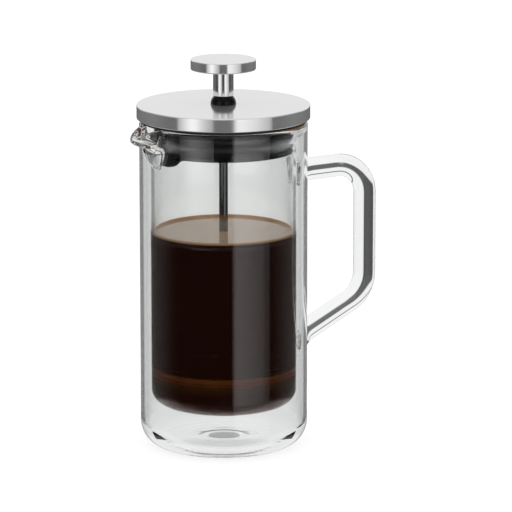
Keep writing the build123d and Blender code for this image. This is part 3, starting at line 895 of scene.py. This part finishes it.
def turned_up_weave(outer, low, high):
    """Uprights and rings of the edge that is turned up along the glass."""
    parts = []
    for index in range(MESH_UPRIGHTS):
        angle = 2 * math.pi * index / MESH_UPRIGHTS
        lean = 0.1 * MM * (index % 2)
        r = outer - MESH_WIRE / 2 - lean
        points = []
        for z in np.linspace(low + 0.1 * MM, high, 5):
            points.append((r * math.cos(angle), r * math.sin(angle), z))
        parts.append(tube(points, MESH_WIRE / 2, sides=5))
    ring_r = outer - MESH_WIRE
    for z in np.arange(low + 0.5 * MM, high - 0.2 * MM, MESH_PITCH * 0.8):
        points = []
        for index in range(MESH_RING_SIDES):
            angle = 2 * math.pi * index / MESH_RING_SIDES
            points.append((ring_r * math.cos(angle), ring_r * math.sin(angle), z))
        parts.append(tube(points, MESH_WIRE / 2, sides=5, closed=True))
    return parts


def mesh_screen():
    """Woven wire cloth: a flat disc with its edge turned up along the glass."""
    outer = SCREEN_HIGH.x
    low, high = SCREEN_LOW.z, SCREEN_HIGH.z
    parts = flat_weave(outer - 0.3 * MM, low + 0.2 * MM) + turned_up_weave(outer, low, high)
    piece = merged("mesh_cloth", parts)
    return dress(piece, MESH_STEEL, "filter", "steel_mesh", "mesh_screen")


# ==== Pieces shown as their CAD nodes =================================================
def dress_cad_nodes():
    """Give the pieces that are shown as their CAD nodes their finish."""
    finishes = {
        "lid_insert": BLACK_PLASTIC,
        "guide_washer": BRIGHT_STEEL,
        "guide_nut": BRIGHT_STEEL,
        "rod_collar": BRIGHT_STEEL,
        "spring_plate": BRIGHT_STEEL,
        "mesh_eyelet": BRIGHT_STEEL,
        "cross_plate": BRIGHT_STEEL,
        "cross_hub": BRIGHT_STEEL,
    }
    for node, material in finishes.items():
        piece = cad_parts[node]
        if not piece.material_slots:
            piece.data.materials.append(material)
        for material_slot in piece.material_slots:
            material_slot.material = material


# ==== Studio ========================================================================
# Bearings and heights in the surroundings, in degrees. A bearing is 0 behind the object and
# 180 at the camera, positive to the right.
NARROW_CARD = (-34, -20)
WIDE_CARD = (-38, 4)
CARD_HEIGHT = (-20, -4)
THIN_CARD = (-60, 60)
THIN_CARD_HEIGHT = (10, 14)
CARD_GREY = 0.09
WALL = (-50, 50)
BEHIND = (-90, 90)
LIT_SIDE = (-22, 22)

SOFTBOX_DISTANCE = 0.8
SOFTBOX_STEPS = 16
GLASS_BOUNCES = 64


def seen_through_glass(nodes, bearing, height, many):
    """White, with dark cards behind the object that draw the edges of the glass.

    many is 1 for light that has gone through several walls and 0 for the handle's single rod.
    """
    card_height = band(nodes, height, CARD_HEIGHT, 1.5)
    narrow_card = nodes.math("MULTIPLY", band(nodes, bearing, NARROW_CARD, 1.5), card_height)
    wide_card = nodes.math("MULTIPLY", band(nodes, bearing, WIDE_CARD, 1.5), card_height)
    thin_card = nodes.math("MULTIPLY", band(nodes, bearing, THIN_CARD, 1.5),
                           band(nodes, height, THIN_CARD_HEIGHT, 1))
    through_one = blend(nodes, nodes.math("MAXIMUM", wide_card, thin_card), 0.93, CARD_GREY)
    through_many = blend(nodes, narrow_card, 0.84, CARD_GREY)
    return blend(nodes, many, through_one, through_many)


def seen_in_mirror(nodes, bearing, height, many, reflections):
    """A white wall, ceiling and table behind the object, and a dark room on the camera's side.

    A strip level with the table stays dark. Light that is reflected more than once sees an even white.
    """
    wall = band(nodes, bearing, WALL, 10)
    ceiling = ramp(nodes, height, 35, 60, 0.0, 1.0)
    upper = blend(nodes, nodes.math("MAXIMUM", wall, ceiling), 0.27, 0.9)
    behind = band(nodes, bearing, BEHIND, 15)
    lit_side = nodes.math("MULTIPLY", band(nodes, bearing, LIT_SIDE, 3), many)
    strip = blend(nodes, behind, 0.006, blend(nodes, lit_side, 0.08, 0.8))
    table = blend(nodes, behind, 0.02, 0.9)
    lower = blend(nodes, ramp(nodes, height, -30, -24, 0.0, 1.0), table, strip)
    once = blend(nodes, ramp(nodes, height, -5, -1, 0.0, 1.0), lower, upper)
    often = ramp(nodes, reflections, 1.2, 1.8, 0.0, 1.0)
    return blend(nodes, often, once, 0.8)


def studio_world():
    """Plain white to the camera, and the studio's surroundings to glass and steel."""
    world = bpy.data.worlds.new("studio")
    bpy.context.scene.world = world
    world.use_nodes = True
    world.node_tree.nodes.clear()
    nodes = Nodes(world.node_tree)
    forward = CAMERA_LOOK - CAMERA_AT
    forward.z = 0
    forward.normalize()
    right = Vector((forward.y, -forward.x, 0))
    direction = nodes.add("ShaderNodeTexCoord").outputs["Generated"]
    ahead = dot_product(nodes, direction, forward)
    aside = dot_product(nodes, direction, right)
    upwards = dot_product(nodes, direction, (0, 0, 1))
    to_degrees = 180 / math.pi
    bearing = nodes.math("MULTIPLY", nodes.math("ARCTAN2", aside, ahead), to_degrees)
    height = nodes.math("MULTIPLY", nodes.math("ARCSINE", upwards), to_degrees)
    path = nodes.add("ShaderNodeLightPath").outputs
    many = ramp(nodes, path["Transmission Depth"], 3.2, 3.8, 0.0, 1.0)
    glass = seen_through_glass(nodes, bearing, height, many)
    mirror = seen_in_mirror(nodes, bearing, height, many, path["Glossy Depth"])
    reflected = nodes.math("MINIMUM", path["Glossy Depth"], 1.0)
    seen = blend(nodes, reflected, glass, mirror)
    shown = blend(nodes, path["Is Camera Ray"], seen, 1.05)
    background = nodes.add("ShaderNodeBackground")
    nodes.link(shown, background.inputs["Color"])
    output = nodes.add("ShaderNodeOutputWorld")
    nodes.link(background.outputs[0], output.inputs["Surface"])
    world.cycles.sampling_method = "NONE"


def softbox_material(name, to_camera, sides, strengths, peak, edges):
    """Light that is brightest between the peak bearings and falls to a fraction at either side."""
    material, nodes, shader = new_material(name)
    shader.inputs["Base Color"].default_value = (0, 0, 0, 1)
    shader.inputs["Emission Color"].default_value = (1, 1, 1, 1)
    where = object_coordinates(nodes)
    separate = nodes.add("ShaderNodeSeparateXYZ")
    nodes.link(where, separate.inputs[0])
    by_height = ramp(nodes, separate.outputs[2], 0.0, 0.03, *strengths)
    across = dot_product(nodes, where, to_camera)
    bearings = (sides[0], *peak, sides[1])
    inner, near, far, outer = (SOFTBOX_DISTANCE * math.cos(math.radians(b)) for b in bearings)
    soft_inner = ramp(nodes, across, near, inner, 1.0, edges[0])
    soft_outer = ramp(nodes, across, outer, far, edges[1], 1.0)
    strength = nodes.math("MULTIPLY", by_height, nodes.math("MULTIPLY", soft_inner, soft_outer))
    nodes.link(strength, shader.inputs["Emission Strength"])
    material.cycles.emission_sampling = "NONE"
    return material


def softbox(name, start, end, low, high, strengths, peak, edges):
    """Curved light panel on the camera's side, between two bearings from the camera, in degrees.

    strengths are those below and above the table, peak the bearings with the most light, and edges
    the fractions of it that are left at the side nearer the camera and at the other side.
    """
    to_camera = CAMERA_AT.copy()
    to_camera.z = 0
    to_camera.normalize()
    heading = math.atan2(to_camera.y, to_camera.x)
    vertices, faces = [], []
    for index in range(SOFTBOX_STEPS + 1):
        angle = heading + math.radians(start + (end - start) * index / SOFTBOX_STEPS)
        for z in (low, high):
            vertices.append((SOFTBOX_DISTANCE * math.cos(angle), SOFTBOX_DISTANCE * math.sin(angle), z))
        if index:
            a = 2 * index
            faces.append((a - 2, a, a + 1, a - 1))
    panel = mesh_object(name, vertices, faces)
    sides = sorted((abs(start), abs(end)))
    panel.data.materials.append(softbox_material(name, to_camera, sides, strengths, peak, edges))
    panel.visible_camera = False
    panel.visible_diffuse = False
    panel.visible_shadow = False


def studio():
    """Floor, surroundings and light panels."""
    floor = mesh_object("floor", [(-8, -8, 0), (8, -8, 0), (8, 8, 0), (-8, 8, 0)], [(0, 1, 2, 3)])
    floor.data.materials.append(floor_material())
    floor.visible_transmission = False
    floor.visible_glossy = False
    studio_world()
    softbox("left_softbox", -61, -13, -0.02, 0.7, strengths=(0.45, 1.22), peak=(36, 43), edges=(0.3, 0.3))
    softbox("right_softbox", 12, 65, -0.5, 0.7, strengths=(0.5, 1.15), peak=(17, 20), edges=(0.1, 0.36))


def camera():
    """Camera at the photograph's viewing angle."""
    data = bpy.data.cameras.new("camera")
    data.lens = CAMERA_LENS
    data.sensor_width = CAMERA_SENSOR
    data.clip_end = 50
    view = bpy.data.objects.new("camera", data)
    bpy.context.scene.collection.objects.link(view)
    view.location = CAMERA_AT
    view.rotation_euler = (CAMERA_LOOK - CAMERA_AT).to_track_quat("-Z", "Y").to_euler()
    bpy.context.scene.camera = view


def picture_settings():
    """Plain colours, and bounces enough for light to find its way through the double glass."""
    scene = bpy.context.scene
    scene.view_settings.view_transform = "Standard"
    scene.view_settings.look = "None"
    scene.cycles.max_bounces = GLASS_BOUNCES
    scene.cycles.transmission_bounces = GLASS_BOUNCES
    scene.cycles.glossy_bounces = GLASS_BOUNCES


glass_vessel()
vent_plug()
coffee()
lid_cap()
lid_gasket()
rod_guide()
knob_disc()
knob_stem()
plunger_rod()
filter_coil()
mesh_screen()
dress_cad_nodes()
studio()
camera()
picture_settings()
